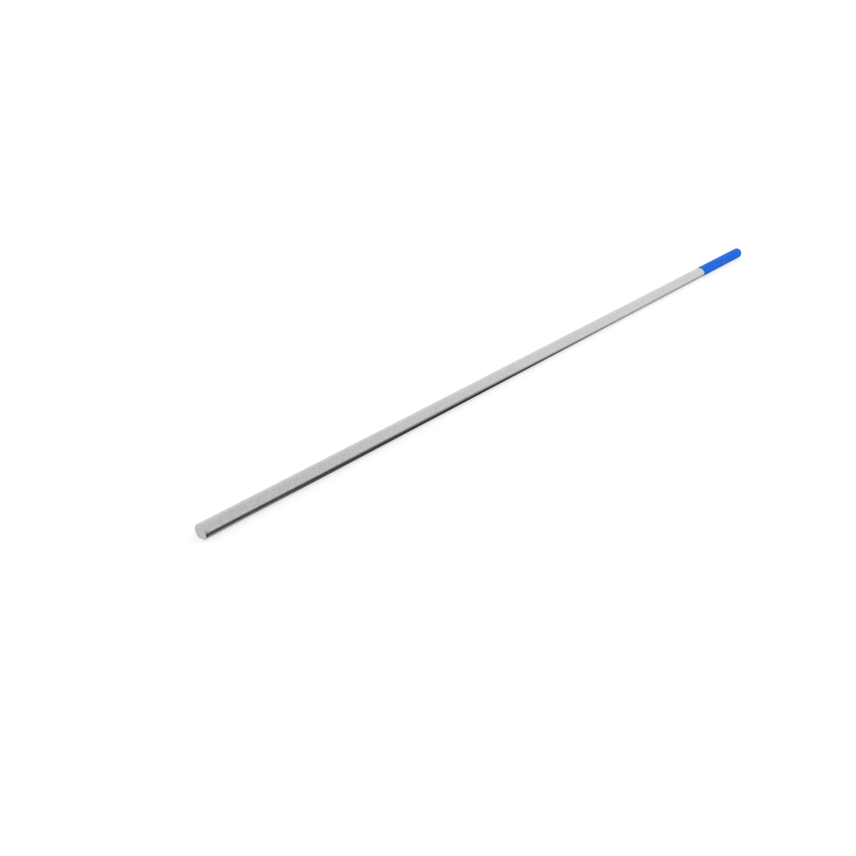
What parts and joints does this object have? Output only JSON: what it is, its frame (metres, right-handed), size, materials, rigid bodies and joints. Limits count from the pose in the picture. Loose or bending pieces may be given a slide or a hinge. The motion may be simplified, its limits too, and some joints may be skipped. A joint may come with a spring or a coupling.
{
  "type": "tungsten welding electrode",
  "caption": "Straight ground tungsten rod for arc welding, cut square at both ends, with a blue dipped lacquer band at one end.",
  "frame": {"origin": "centre of the flat face at the bare end, which carries the arc", "axes": "+X along the rod, out of the bare end; the lacquered end is at -X; Y and Z are alike, because the rod is round"},
  "size_m": [0.1751, 0.0024, 0.0024],
  "materials": {
    "ground_tungsten": "centreless ground, satin, neutral grey",
    "blue_lacquer": "dipped and air-dried lacquer, satin"
  },
  "bodies": {
    "root": {"electrode_rod": "ground_tungsten", "colour_band": "blue_lacquer"}
  },
  "joints": []
}
